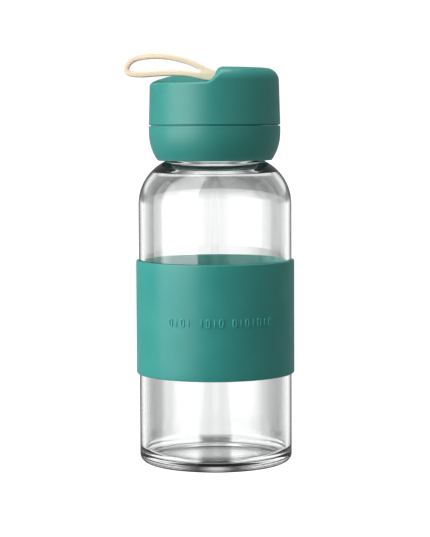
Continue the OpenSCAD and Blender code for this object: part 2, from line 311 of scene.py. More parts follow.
def spun(name, line, sides=128):
    """A closed body of revolution from an outline that runs upwards on its outside. Points
    on the axis become one vertex."""
    mesh = bpy.data.meshes.new(name)
    verts, rings = [], []
    for r, z in line:
        if r < 1e-7:
            rings.append([len(verts)] * sides)
            verts.append((0, 0, z))
        else:
            rings.append(range(len(verts), len(verts) + sides))
            for k in range(sides):
                a = 2 * math.pi * k / sides
                verts.append((r * math.cos(a), r * math.sin(a), z))
    faces = []
    for i in range(len(rings)):
        low, high = rings[i], rings[(i + 1) % len(rings)]
        for k in range(sides):
            m = (k + 1) % sides
            ring = list(dict.fromkeys((low[k], low[m], high[m], high[k])))
            if len(ring) > 2:
                faces.append(ring)
    mesh.from_pydata(verts, [], faces)
    mesh.validate()
    mesh.shade_smooth()
    mesh.set_sharp_from_angle(angle=math.radians(50))
    thing = bpy.data.objects.new(name, mesh)
    scene.collection.objects.link(thing)
    return thing


def glass_outline():
    """Half section of the glass: up its outside, over the rim and down its inside."""
    centre_x = GLASS_R - SHOULDER_R
    neck_z = GLASS_TOP - NECK_H
    drop = GLASS_R - NECK_R
    shoulder_z = neck_z - math.sqrt(2 * SHOULDER_R * drop - drop * drop)
    fillet_x = NECK_R + NECK_FILLET
    reach = SHOULDER_R + NECK_FILLET
    fillet_z = shoulder_z + math.sqrt(reach**2 - (fillet_x - centre_x) ** 2)
    slope = math.degrees(math.atan2(fillet_z - shoulder_z, fillet_x - centre_x))
    outside = [(0, 0.0012), (0.006, 0.00115), (0.012, 0.00098), (0.018, 0.00068)]
    outside += [(0.0225, 0.00036), (0.0252, 0.00012), (0.0268, 0.00002), (0.028, 0)]
    outside += arc(GLASS_R - BASE_R, BASE_R, BASE_R, -90, 0, 14)
    outside += [(GLASS_R, z) for z in np.linspace(0.012, shoulder_z - 0.004, 14)]
    outside += arc(centre_x, shoulder_z, SHOULDER_R, 0, slope, 30)
    outside += arc(fillet_x, fillet_z, NECK_FILLET, slope - 180, -180, 7)[1:]
    outside += [(NECK_R, z) for z in np.arange(fillet_z + 0.0003, GLASS_TOP - 0.0009, 0.0002)]
    outside += arc(NECK_R - RIM_R, GLASS_TOP - RIM_R, RIM_R, 0, 90, 6)
    mouth_r, inner_r = NECK_R - GLASS_WALL, SHOULDER_R - GLASS_WALL
    inside = arc(mouth_r + RIM_R, GLASS_TOP - RIM_R, RIM_R, 90, 180, 6)
    turn, rise = math.radians(LEDGE_TURN), math.radians(LEDGE_RISE)
    ledge_x = centre_x + inner_r * math.cos(turn)
    ledge_z = shoulder_z + inner_r * math.sin(turn)
    corner_z = ledge_z + (ledge_x - mouth_r) * math.tan(rise)
    inside += [(mouth_r, z) for z in np.linspace(GLASS_TOP - 0.0012, corner_z + LEDGE_EASE, 6)]
    for t in np.linspace(0.2, 1, 5):
        keep = (1 - t) ** 2
        inside.append((
            mouth_r + LEDGE_EASE * math.cos(rise) * t * t,
            corner_z + LEDGE_EASE * keep - LEDGE_EASE * math.sin(rise) * t * t,
        ))
    inside += arc(centre_x, shoulder_z, inner_r, LEDGE_TURN, 0, 26)
    inside += [(GLASS_R - GLASS_WALL, z) for z in np.linspace(shoulder_z - 0.004, 0.014, 14)]
    inside += arc(GLASS_R - GLASS_WALL - BASE_IN_R, BASE_IN_Z, BASE_IN_R, 0, -90, 14)
    inside += [(0.021, 0.00362), (0.014, 0.0038), (0.007, 0.00395), (0, 0.004)]
    return outside + inside


def thread_tree():
    """Geometry Nodes that raise thread ridges on the vertices of a wall which carry the
    attribute wall: outwards where it is 1 and inwards where it is -1."""
    tree = bpy.data.node_groups.new("thread_ridges", "GeometryNodeTree")
    face = tree.interface
    face.new_socket("Geometry", in_out="INPUT", socket_type="NodeSocketGeometry")
    face.new_socket("Geometry", in_out="OUTPUT", socket_type="NodeSocketGeometry")
    for name in ("Lead", "Depth", "Turns", "First Height", "Foot Width", "Tip Width"):
        face.new_socket(name, in_out="INPUT", socket_type="NodeSocketFloat")
    face.new_socket("Material", in_out="INPUT", socket_type="NodeSocketMaterial")
    add, link = tree.nodes.new, tree.links.new
    given = add("NodeGroupInput")

    def work(operation, *values):
        return maths(tree, operation, *values)

    place = axes(tree, add("GeometryNodeInputPosition").outputs[0])
    angle = work("DIVIDE", work("ARCTAN2", place["Y"], place["X"]), 2 * math.pi)
    half_foot = work("DIVIDE", given.outputs["Foot Width"], 2)
    half_tip = work("DIVIDE", given.outputs["Tip Width"], 2)
    ridge = None
    for start in (0.0, 0.5):
        turn = work("FRACT", work("ADD", work("SUBTRACT", angle, start), 2))
        climb = work("MULTIPLY_ADD", turn, given.outputs["Lead"], given.outputs["First Height"])
        off = work("ABSOLUTE", work("SUBTRACT", place["Z"], climb))
        flank = work("SUBTRACT", half_foot, half_tip)
        slope = work("DIVIDE", work("SUBTRACT", half_foot, off), flank)
        left = work("SUBTRACT", given.outputs["Turns"], turn)
        fade = work("MINIMUM", work("MULTIPLY", turn, 12), work("MULTIPLY", left, 12))
        one = work("MINIMUM", work("MAXIMUM", work("MINIMUM", slope, fade), 0), 1)
        ridge = one if ridge is None else work("MAXIMUM", ridge, one)
    wall = add("GeometryNodeInputNamedAttribute")
    wall.data_type = "FLOAT"
    wall.inputs["Name"].default_value = "wall"
    height = work("MULTIPLY", work("MULTIPLY", ridge, given.outputs["Depth"]), wall.outputs[0])
    flat = add("ShaderNodeCombineXYZ")
    link(place["X"], flat.inputs["X"])
    link(place["Y"], flat.inputs["Y"])
    unit = add("ShaderNodeVectorMath")
    unit.operation = "NORMALIZE"
    link(flat.outputs[0], unit.inputs[0])
    shift = add("ShaderNodeVectorMath")
    shift.operation = "SCALE"
    link(unit.outputs[0], shift.inputs[0])
    link(height, shift.inputs["Scale"])
    move = add("GeometryNodeSetPosition")
    link(given.outputs["Geometry"], move.inputs["Geometry"])
    link(shift.outputs[0], move.inputs["Offset"])
    real = add("GeometryNodeRealizeInstances")
    link(move.outputs[0], real.inputs[0])
    paint = add("GeometryNodeSetMaterial")
    link(real.outputs[0], paint.inputs["Geometry"])
    link(given.outputs["Material"], paint.inputs["Material"])
    link(paint.outputs[0], add("NodeGroupOutput").inputs[0])
    return tree


def set_inputs(modifier, values):
    """Gives a Geometry Nodes modifier its values by the names of its inputs."""
    for item in modifier.node_group.interface.items_tree:
        if item.item_type == "SOCKET" and item.in_out == "INPUT" and item.name in values:
            modifier[item.identifier] = values[item.name]


def made_plain(thing):
    """Turns what an object's modifiers make into its own plain mesh."""
    bpy.context.view_layer.update()
    seen = thing.evaluated_get(bpy.context.evaluated_depsgraph_get())
    mesh = bpy.data.meshes.new_from_object(seen)
    thing.modifiers.clear()
    thing.data = mesh
    mesh.name = thing.name
    return thing


ridges = thread_tree()


def add_thread(thing, r, side, first_height, top, paint):
    """Raises the two-start thread on the wall of radius r, between its ends."""
    wall = thing.data.attributes.new("wall", "FLOAT", "POINT")
    for i, v in enumerate(thing.data.vertices):
        near = abs(math.hypot(v.co.x, v.co.y) - r) < 1e-5 and v.co.z < top
        wall.data[i].value = side if near else 0
    change = thing.modifiers.new("thread", "NODES")
    change.node_group = ridges
    set_inputs(change, {
        "Lead": THREAD_LEAD, "Depth": THREAD_DEPTH, "Turns": THREAD_TURNS,
        "First Height": first_height, "Foot Width": THREAD_FOOT, "Tip Width": THREAD_TIP,
        "Material": paint,
    })
    made_plain(thing)
    wall = thing.data.attributes.get("wall")
    if wall:
        thing.data.attributes.remove(wall)


def clear_glass(name, edge):
    """Clear glass with the faint green of its iron and with lamps shining through it. Where
    edge is given, its colour darkens to that grey where it is seen almost along its
    surface: painted shade, which stands in for the dark refractions at the glass's edges."""
    paint = bpy.data.materials.new(name)
    paint.use_nodes = True
    tree = paint.node_tree
    glass = tree.nodes["Principled BSDF"]
    glass.inputs["Roughness"].default_value = 0.0
    glass.inputs["IOR"].default_value = 1.5
    glass.inputs["Transmission Weight"].default_value = 1
    glass.inputs["Base Color"].default_value = GLASS_TINT
    # Painted shade: a dark rim in the glass's colour, by how nearly the surface is seen along it.
    if edge:
        facing = tree.nodes.new("ShaderNodeLayerWeight")
        facing.inputs["Blend"].default_value = 0.5
        rim = tree.nodes.new("ShaderNodeValToRGB")
        clear, dark = rim.color_ramp.elements
        clear.position, clear.color = 0.7, GLASS_TINT
        dark.position, dark.color = 0.84, (edge, edge, edge, 1)
        tree.links.new(facing.outputs["Facing"], rim.inputs["Fac"])
        tree.links.new(rim.outputs["Color"], glass.inputs["Base Color"])
    rays = tree.nodes.new("ShaderNodeLightPath")
    through = tree.nodes.new("ShaderNodeBsdfTransparent")
    through.inputs["Color"].default_value = (0.93, 0.95, 0.94, 1)
    both = tree.nodes.new("ShaderNodeMixShader")
    tree.links.new(rays.outputs["Is Shadow Ray"], both.inputs["Fac"])
    tree.links.new(glass.outputs[0], both.inputs[1])
    tree.links.new(through.outputs[0], both.inputs[2])
    tree.links.new(both.outputs[0], tree.nodes["Material Output"].inputs["Surface"])
    return paint


def inner_faces(mesh):
    """Gives the faces that look towards the bottle's inside the mesh's second material."""
    for face in mesh.polygons:
        x, y, z = face.center
        inwards = face.normal.x * x + face.normal.y * y < -0.01 * math.hypot(x, y)
        if inwards or (face.normal.z > 0.5 and z < 0.006):
            face.material_index = 1


# The outside of the glass carries the painted shade of a dark rim; its inside does not.
glass_paint = clear_glass("clear_glass", 0.12)
glass = spun("glass_bottle", glass_outline(), 192)
collar_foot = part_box("collar_shell")[0].z
add_thread(glass, NECK_R, 1, collar_foot + NECK_THREAD, GLASS_TOP - 0.0008, glass_paint)
glass.data.materials.append(clear_glass("clear_glass_inside", 0))
inner_faces(glass.data)
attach(glass, "bottle")
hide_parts("glass_body")


# The grip sleeve: a moulded tube of green silicone, stretched over the glass. It has rounded
# edges, a soft dusty surface and a row of small raised marks on its front.
sleeve_low, sleeve_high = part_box("grip_sleeve")
SLEEVE_R = sleeve_high.x
SLEEVE_BORE = GLASS_R + 0.00005
SLEEVE_GREEN = (0.018, 0.262, 0.232)


def noise_bump(tree, coordinates, scale, distance, detail=3.0, strength=1.0, normal=None):
    """A fine bump from noise on the piece's own coordinates."""
    noise = tree.nodes.new("ShaderNodeTexNoise")
    noise.inputs["Scale"].default_value = scale
    noise.inputs["Detail"].default_value = detail
    tree.links.new(coordinates, noise.inputs["Vector"])
    bump = tree.nodes.new("ShaderNodeBump")
    bump.inputs["Strength"].default_value = strength
    bump.inputs["Distance"].default_value = distance
    tree.links.new(noise.outputs["Fac"], bump.inputs["Height"])
    if normal is not None:
        tree.links.new(normal, bump.inputs["Normal"])
    return bump.outputs["Normal"]


def drifting(tree, coordinates, scale, low, high):
    """A value or colour that drifts between two ends across the piece."""
    noise = tree.nodes.new("ShaderNodeTexNoise")
    noise.inputs["Scale"].default_value = scale
    noise.inputs["Detail"].default_value = 4
    tree.links.new(coordinates, noise.inputs["Vector"])
    ramp = tree.nodes.new("ShaderNodeValToRGB")
    ramp.color_ramp.elements[0].position = 0.3
    ramp.color_ramp.elements[1].position = 0.7
    for element, colour in zip(ramp.color_ramp.elements, (low, high)):
        element.color = (*colour, 1) if isinstance(colour, tuple) else (colour,) * 3 + (1,)
    tree.links.new(noise.outputs["Fac"], ramp.inputs["Fac"])
    return ramp.outputs["Color"]


def soft_silicone(name, colour, roughness=0.38, sheen=0.0, grain=0.00002):
    """Moulded silicone: a fine matt skin with a dusty sheen and a slight drift in colour."""
    paint = bpy.data.materials.new(name)
    paint.use_nodes = True
    tree = paint.node_tree
    shader = tree.nodes["Principled BSDF"]
    where = tree.nodes.new("ShaderNodeTexCoord").outputs["Object"]
    paler = tuple(c + (1 - c) * 0.012 for c in colour)
    deeper = tuple(c * 0.94 for c in colour)
    tree.links.new(drifting(tree, where, 60, deeper, paler), shader.inputs["Base Color"])
    tree.links.new(
        drifting(tree, where, 240, roughness - 0.04, roughness + 0.05), shader.inputs["Roughness"]
    )
    fine = noise_bump(tree, where, 2600, grain, 2)
    tree.links.new(noise_bump(tree, where, 220, grain * 2, 2, 0.6, fine), shader.inputs["Normal"])
    shader.inputs["Specular IOR Level"].default_value = 0.5
    shader.inputs["Sheen Weight"].default_value = sheen
    shader.inputs["Sheen Roughness"].default_value = 0.4
    shader.inputs["Subsurface Weight"].default_value = 0.06
    shader.inputs["Subsurface Radius"].default_value = (0.002, 0.002, 0.002)
    shader.inputs["Subsurface Scale"].default_value = 1.0
    return paint


sleeve_paint = soft_silicone("green_silicone", SLEEVE_GREEN)
sleeve = spun("silicone_sleeve", close_rows(eased([
    (SLEEVE_R, sleeve_low.z, 0.0005),
    (SLEEVE_R, sleeve_high.z, 0.0005),
    (SLEEVE_BORE, sleeve_high.z, 0.0004),
    (SLEEVE_BORE, sleeve_low.z, 0.0004),
]), 0.004), 192)
sleeve.data.materials.append(sleeve_paint)
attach(sleeve, "sleeve")
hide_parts("grip_sleeve")


def mark_tree():
    """Geometry Nodes that lay a row of raised marks round a sleeve, upright bars and small
    frames by turns, with two of the places left empty."""
    tree = bpy.data.node_groups.new("raised_marks", "GeometryNodeTree")
    face = tree.interface
    face.new_socket("Geometry", in_out="OUTPUT", socket_type="NodeSocketGeometry")
    for name in ("Places", "First Gap", "Second Gap"):
        face.new_socket(name, in_out="INPUT", socket_type="NodeSocketInt")
    for name in ("Radius", "Height", "Left Angle", "Right Angle", "Mark Height", "Mark Width",
                 "Stroke"):
        face.new_socket(name, in_out="INPUT", socket_type="NodeSocketFloat")
    face.new_socket("Material", in_out="INPUT", socket_type="NodeSocketMaterial")
    add, link = tree.nodes.new, tree.links.new
    given = add("NodeGroupInput")
    points = add("GeometryNodePoints")
    link(given.outputs["Places"], points.inputs["Count"])
    index = add("GeometryNodeInputIndex").outputs[0]
    last = maths(tree, "SUBTRACT", given.outputs["Places"], 1)
    span = maths(tree, "SUBTRACT", given.outputs["Right Angle"], given.outputs["Left Angle"])
    share = maths(tree, "DIVIDE", index, last)
    turn = maths(tree, "MULTIPLY_ADD", share, span, given.outputs["Left Angle"])
    spot = add("ShaderNodeCombineXYZ")
    link(maths(tree, "MULTIPLY", maths(tree, "SINE", turn), given.outputs["Radius"]),
         spot.inputs["X"])
    front = maths(tree, "MULTIPLY", maths(tree, "COSINE", turn), given.outputs["Radius"])
    link(maths(tree, "MULTIPLY", front, -1), spot.inputs["Y"])
    link(given.outputs["Height"], spot.inputs["Z"])
    link(spot.outputs[0], points.inputs["Position"])
    facing = add("ShaderNodeCombineXYZ")
    link(turn, facing.inputs["Z"])
    filled = maths(tree, "MULTIPLY",
                   maths(tree, "MINIMUM", maths(tree, "ABSOLUTE", maths(
                       tree, "SUBTRACT", index, given.outputs["First Gap"])), 1),
                   maths(tree, "MINIMUM", maths(tree, "ABSOLUTE", maths(
                       tree, "SUBTRACT", index, given.outputs["Second Gap"])), 1))
    odd = maths(tree, "MODULO", index, 2)

    ball = add("GeometryNodeMeshUVSphere")
    ball.inputs["Segments"].default_value = 16
    ball.inputs["Rings"].default_value = 12
    ball.inputs["Radius"].default_value = 0.5
    bar_size = add("ShaderNodeCombineXYZ")
    link(given.outputs["Stroke"], bar_size.inputs["X"])
    link(given.outputs["Stroke"], bar_size.inputs["Y"])
    link(given.outputs["Mark Height"], bar_size.inputs["Z"])
    bars = add("GeometryNodeInstanceOnPoints")
    link(points.outputs[0], bars.inputs["Points"])
    link(maths(tree, "MULTIPLY", filled, odd), bars.inputs["Selection"])
    link(ball.outputs["Mesh"], bars.inputs["Instance"])
    link(facing.outputs[0], bars.inputs["Rotation"])
    link(bar_size.outputs[0], bars.inputs["Scale"])

    frame_line = add("GeometryNodeCurvePrimitiveQuadrilateral")
    link(maths(tree, "SUBTRACT", given.outputs["Mark Width"], given.outputs["Stroke"]),
         frame_line.inputs["Width"])
    link(maths(tree, "SUBTRACT", given.outputs["Mark Height"], given.outputs["Stroke"]),
         frame_line.inputs["Height"])
    eased_line = add("GeometryNodeFilletCurve")
    eased_line.mode = "POLY"
    link(frame_line.outputs[0], eased_line.inputs["Curve"])
    eased_line.inputs["Count"].default_value = 4
    link(maths(tree, "MULTIPLY", given.outputs["Stroke"], 0.8), eased_line.inputs["Radius"])
    wire = add("GeometryNodeCurvePrimitiveCircle")
    wire.inputs["Resolution"].default_value = 10
    link(maths(tree, "DIVIDE", given.outputs["Stroke"], 2), wire.inputs["Radius"])
    tube = add("GeometryNodeCurveToMesh")
    link(eased_line.outputs[0], tube.inputs["Curve"])
    link(wire.outputs[0], tube.inputs["Profile Curve"])
    upright = add("GeometryNodeTransform")
    upright.inputs["Rotation"].default_value = (math.pi / 2, 0, 0)
    link(tube.outputs[0], upright.inputs[0])
    frames = add("GeometryNodeInstanceOnPoints")
    link(points.outputs[0], frames.inputs["Points"])
    link(maths(tree, "MULTIPLY", filled, maths(tree, "SUBTRACT", 1, odd)),
         frames.inputs["Selection"])
    link(upright.outputs[0], frames.inputs["Instance"])
    link(facing.outputs[0], frames.inputs["Rotation"])

    both = add("GeometryNodeJoinGeometry")
    link(bars.outputs[0], both.inputs[0])
    link(frames.outputs[0], both.inputs[0])
    smooth = add("GeometryNodeSetShadeSmooth")
    real = add("GeometryNodeRealizeInstances")
    link(both.outputs[0], real.inputs[0])
    link(real.outputs[0], smooth.inputs[0])
    paint = add("GeometryNodeSetMaterial")
    link(smooth.outputs[0], paint.inputs["Geometry"])
    link(given.outputs["Material"], paint.inputs["Material"])
    link(paint.outputs[0], add("NodeGroupOutput").inputs[0])
    return tree


# Painted highlight: the raised marks get a paler green than the sleeve, for the light that their
# raised faces catch.
marks_highlight_paint = soft_silicone("paler_silicone_painted_highlight", tuple(c * 1.4 for c in SLEEVE_GREEN), 0.32)
marks = bpy.data.objects.new("raised_marks", bpy.data.meshes.new("raised_marks"))
scene.collection.objects.link(marks)
laid = marks.modifiers.new("marks", "NODES")
laid.node_group = mark_tree()
set_inputs(laid, {
    "Places": 17, "First Gap": 4, "Second Gap": 9,
    "Radius": SLEEVE_R + 0.00003, "Height": 0.0633,
    "Left Angle": math.radians(-33), "Right Angle": math.radians(41.5),
    "Mark Height": 0.0037, "Mark Width": 0.002, "Stroke": 0.00065, "Material": marks_highlight_paint,
})
made_plain(marks)
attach(marks, "sleeve")


# The collar: a thin green shell, moulded in plastic with a spark-eroded texture and pressed
# round the mouthpiece. Its foot curves in and ends in a crisp edge just above the shoulder.
collar_low, collar_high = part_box("collar_shell")
COLLAR_TOP = collar_high.z
LID_R = collar_high.x
LID_GREEN = (0.018, 0.222, 0.192)
SKIN = 0.0022
FOOT_H = 0.002
COLLAR_CURVE = 0.02
CURVE_TOP = 0.0032
THREAD_PLAY = 0.0003
SKIRT_WALL = 0.0013


def lid_plastic(name, colour, roughness=0.34):
    """Moulded polypropylene with a fine eroded texture."""
    paint = bpy.data.materials.new(name)
    paint.use_nodes = True
    tree = paint.node_tree
    shader = tree.nodes["Principled BSDF"]
    where = tree.nodes.new("ShaderNodeTexCoord").outputs["Object"]
    paler = tuple(c + (1 - c) * 0.008 for c in colour)
    deeper = tuple(c * 0.95 for c in colour)
    tree.links.new(drifting(tree, where, 45, deeper, paler), shader.inputs["Base Color"])
    tree.links.new(
        drifting(tree, where, 500, roughness - 0.05, roughness + 0.05), shader.inputs["Roughness"]
    )
    grain = noise_bump(tree, where, 3200, 0.0001, 3)
    tree.links.new(noise_bump(tree, where, 900, 0.00004, 2, 0.6, grain), shader.inputs["Normal"])
    shader.inputs["Specular IOR Level"].default_value = 0.5
    return paint


lid_paint = lid_plastic("green_plastic", LID_GREEN)


def collar_wall(inset, low, high, steps):
    """Points up the collar's curved wall, drawn in by inset."""
    curve_z = COLLAR_TOP - CURVE_TOP
    radius = COLLAR_CURVE - inset
    bottom = math.degrees(math.asin((low - curve_z) / radius))
    line = arc(LID_R - COLLAR_CURVE, curve_z, radius, bottom, 0, steps)
    return line + [(LID_R - inset, high)]


foot = collar_low.z
inner_r = NECK_R + THREAD_DEPTH + THREAD_PLAY + SKIRT_WALL + 0.0001
outer = collar_wall(0, foot, COLLAR_TOP, 26)
inner = collar_wall(SKIN, foot + FOOT_H, COLLAR_TOP, 20)[::-1]
collar_line = (
    [(inner_r, foot, 0.0003), (outer[0][0], foot, 0.00035)]
    + [(r, z, 0) for r, z in outer[2:-1]]
    + [(outer[-1][0], outer[-1][1], 0.0004), (inner[0][0], inner[0][1], 0.0002)]
    + [(r, z, 0) for r, z in inner[1:]]
    + [(inner_r, foot + FOOT_H, 0.0002)]
)
collar = spun("collar", close_rows(eased(collar_line, 5), 0.003), 160)
collar.data.materials.append(lid_paint)
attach(collar, "collar")
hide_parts("collar_shell")


# The mouthpiece: one moulding that screws on the neck of the glass with its skirt, closes
# over the rim with its deck, and stands up as the drinking spout that the cap screws on.
spout_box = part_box("mouthpiece")
SPOUT_TOP = spout_box[1].z
DECK_R = spout_box[1].x
SKIRT_IN = NECK_R + THREAD_DEPTH + THREAD_PLAY
SEAL_T = 0.0014
SPOUT_IN = 0.0169
SPOUT_WALL = 0.0025
SPOUT_OUT = SPOUT_IN + SPOUT_WALL
DECK_T = 0.0023
SKIRT_THREAD = 0.0031
SPOUT_THREAD = 0.0014
deck_low = GLASS_TOP + SEAL_T
deck_high = deck_low + DECK_T
spout_paint = lid_plastic("spout_plastic", LID_GREEN, 0.34)
spout_line = close_rows(eased([
    (SPOUT_IN, deck_low, 0.0004),
    (SKIRT_IN, deck_low, 0),
    (SKIRT_IN, spout_box[0].z, 0.0003),
    (SKIRT_IN + SKIRT_WALL, spout_box[0].z, 0.0003),
    (SKIRT_IN + SKIRT_WALL, deck_low, 0.0003),
    (DECK_R, deck_low, 0.0003),
    (DECK_R, deck_high, 0.0004),
    (SPOUT_OUT, deck_high, 0.0003),
    (SPOUT_OUT, SPOUT_TOP, 0.0009),
    (SPOUT_IN, SPOUT_TOP, 0.0009),
]), 0.00025)
mouthpiece = spun("mouthpiece_spout", spout_line, 160)
skirt_start = spout_box[0].z + SKIRT_THREAD
add_thread(mouthpiece, SKIRT_IN, -1, skirt_start, deck_low - 0.0002, spout_paint)
spout_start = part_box("cap_liner")[0].z + SPOUT_THREAD
add_thread(mouthpiece, SPOUT_OUT, 1, spout_start, SPOUT_TOP - 0.0008, spout_paint)
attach(mouthpiece, "collar")
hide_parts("mouthpiece")


# The two seals: flat rings of clear silicone. One lies under the deck on the rim of the
# glass, the other under the disc of the liner on the rim of the spout.
seal_paint = soft_silicone("clear_silicone", (0.66, 0.69, 0.66), 0.4, 0.05)


def seal_ring(name, node, body, inner_radius):
    """A flat ring with rounded edges, and a fine moulding line round its middle."""
    low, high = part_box(node)
    middle = (low.z + high.z) / 2
    line, edge = 0.00012, 0.00035
    ring = spun(name, close_rows(eased([
        (high.x, low.z, edge), (high.x, middle - line, 0), (high.x + line, middle, 0),
        (high.x, middle + line, 0), (high.x, high.z, edge),
        (inner_radius, high.z, edge), (inner_radius, low.z, edge),
    ]), 0.002), 128)
    ring.data.materials.append(seal_paint)
    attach(ring, body)
    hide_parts(node)


seal_ring("neck_ring", "neck_seal", "collar_carrier", NECK_R - GLASS_WALL + 0.0002)
seal_ring("cap_ring", "cap_seal", "cap_carrier", SPOUT_IN - 0.0006)


# The cap's liner: a white threaded cup that is pressed into the green shell and screws on
# the spout.
liner_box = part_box("cap_liner")
LINER_IN = SPOUT_OUT + THREAD_DEPTH + THREAD_PLAY
LINER_WALL = 0.0019
LINER_THREAD = 0.0029
DISC_T = 0.0018
liner_paint = lid_plastic("white_plastic", (0.74, 0.76, 0.74), 0.36)
disc_low = SPOUT_TOP + SEAL_T
disc_high = disc_low + DISC_T
liner = spun("threaded_liner", close_rows(eased([
    (0, disc_low, 0),
    (LINER_IN, disc_low, 0),
    (LINER_IN, liner_box[0].z, 0.0003),
    (LINER_IN + LINER_WALL, liner_box[0].z, 0.0003),
    (LINER_IN + LINER_WALL, disc_low, 0.0003),
    (liner_box[1].x, disc_low, 0.0003),
    (liner_box[1].x, disc_high, 0.0003),
    (0, disc_high, 0),
]), 0.00025), 160)
liner_start = liner_box[0].z + LINER_THREAD
add_thread(liner, LINER_IN, -1, liner_start, disc_low - 0.0002, liner_paint)
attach(liner, "cap")
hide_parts("cap_liner")


# The strap's pin: a short length of drawn steel wire with eased ends, which lies across the
# slot in the cap.
pin_low, pin_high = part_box("strap_pin")
PIN = (pin_low + pin_high) / 2
PIN_R = (pin_high.z - pin_low.z) / 2


def drawn_steel():
    """Bright drawn wire with fine lines along it."""
    paint = bpy.data.materials.new("drawn_steel")
    paint.use_nodes = True
    tree = paint.node_tree
    shader = tree.nodes["Principled BSDF"]
    where = tree.nodes.new("ShaderNodeTexCoord").outputs["Object"]
    along = tree.nodes.new("ShaderNodeMapping")
    along.inputs["Scale"].default_value = (1, 0.02, 1)
    tree.links.new(where, along.inputs["Vector"])
    tree.links.new(
        noise_bump(tree, along.outputs[0], 5000, 0.00001, 2), shader.inputs["Normal"]
    )
    tree.links.new(
        drifting(tree, where, 900, (0.5, 0.5, 0.5), (0.62, 0.62, 0.62)), shader.inputs["Base Color"]
    )
    shader.inputs["Metallic"].default_value = 1
    shader.inputs["Roughness"].default_value = 0.28
    return paint


pin_half = (pin_high.y - pin_low.y) / 2
pin = spun("steel_pin", eased([
    (0, -pin_half, 0), (PIN_R, -pin_half, 0.0003), (PIN_R, pin_half, 0.0003), (0, pin_half, 0),
], 3), 48)
pin.data.transform(Matrix.Translation(PIN) @ Matrix.Rotation(math.radians(90), 4, "X"))
pin.data.materials.append(drawn_steel())
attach(pin, "cap")
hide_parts("strap_pin")


# The cap: a green shell with a slightly domed top. The left half of the top is scooped out
# for the strap, and every lip of the scoop is rounded as the mould leaves it.
cap_low, cap_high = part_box("cap_shell")
CAP_SEAM = COLLAR_TOP + 0.0004
CAP_DRAFT = 0.0007
CAP_CORNER = 0.005
DOME_R = 0.4
SCOOP_DEPTH = 0.0069
SCOOP_WALL = 0.0006
SCOOP_FILLET = 0.005
SCOOP_RISE_Y = -0.005
SCOOP_RISE = 0.066
LIP = 0.0012
HIGH_LIP = 0.003
HIGH_FROM = 0.0055
HIGH_OVER = 0.003
RING_T = 0.0014
RING_EASE = 0.0003
SLOT_HALF = 0.0039
SLOT_END = 0.0039
SLOT_ROOM = 0.0016
SLOT_LIP = 0.0004


def outer_corner(a, b, r):
    """Where two surfaces meet in an outer corner of radius r."""
    return np.minimum(np.maximum(a, b), -r) + np.hypot(
        np.maximum(a + r, 0), np.maximum(b + r, 0)
    )


def inner_corner(a, b, r):
    """Where two surfaces meet in a hollow corner of radius r."""
    return np.maximum(np.minimum(a, b), r) - np.hypot(
        np.maximum(r - a, 0), np.maximum(r - b, 0)
    )


def outside_cap(x, y, z):
    """How far a point lies outside the cap, below 0 inside it."""
    r = np.hypot(x, y)
    wall = r - (LID_R - CAP_DRAFT * (z - CAP_SEAM) / (cap_high.z - CAP_SEAM))
    dome = np.sqrt(r**2 + (z - cap_high.z + DOME_R) ** 2) - DOME_R
    block = outer_corner(wall, dome, CAP_CORNER)
    back = np.maximum(y - SCOOP_RISE_Y, 0)
    rise = SCOOP_RISE - np.sqrt(np.maximum(SCOOP_RISE**2 - back**2, 0))
    floor_gap = z - (cap_high.z - SCOOP_DEPTH + rise)
    scoop = inner_corner(floor_gap, SCOOP_WALL - x, SCOOP_FILLET)
    high = np.clip((z - cap_high.z + HIGH_FROM) / HIGH_OVER, 0, 1)
    block = outer_corner(block, scoop, LIP + (HIGH_LIP - LIP) * high)
    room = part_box("strap_pin")[1].z - PIN.z + SLOT_ROOM
    dx, dz = x - PIN.x, z - PIN.z
    slot_line = np.where(dz > 0, dx - SLOT_END, np.hypot(np.maximum(dx, 0), dz) - room)
    slot = np.maximum(np.abs(y) - SLOT_HALF, slot_line)
    return outer_corner(block, -slot, SLOT_LIP)


def cap_skin():
    """The outside of the cap as a net of points, each found along a ray from inside it."""
    heart = np.array([0.008, 0, CAP_SEAM + 0.004])
    side = [(LID_R, CAP_SEAM + z) for z in np.linspace(0.0006, 0.0195, 56)]
    top_z = cap_high.z
    turn = [(LID_R - CAP_CORNER + CAP_CORNER * math.sin(a),
             top_z - 0.0055 + CAP_CORNER * math.cos(a))
            for a in np.linspace(math.pi / 2, 0.1, 26)]
    over = [(r, top_z - r * r / (2 * DOME_R)) for r in np.linspace(0.0232, 0.0002, 84)]
    rows = np.array(side + turn + over)
    sides = 288
    a = np.linspace(0, 2 * math.pi, sides, endpoint=False)
    goal = np.stack([
        rows[:, :1] * np.cos(a), rows[:, :1] * np.sin(a), np.repeat(rows[:, 1:], sides, 1)
    ], -1)
    way = goal - heart
    past_goal = 1.06
    steps = np.linspace(0.02, past_goal, 90)
    first = np.full(goal.shape[:2], past_goal)
    for t in steps[::-1]:
        p = heart + way * t
        first = np.where(outside_cap(p[..., 0], p[..., 1], p[..., 2]) > 0, t, first)
    near, far = first - (steps[1] - steps[0]), first
    for _ in range(26):
        t = (near + far) / 2
        p = heart + way * t[..., None]
        out = outside_cap(p[..., 0], p[..., 1], p[..., 2]) > 0
        near, far = np.where(out, near, t), np.where(out, t, far)
    return heart + way * ((near + far) / 2)[..., None]


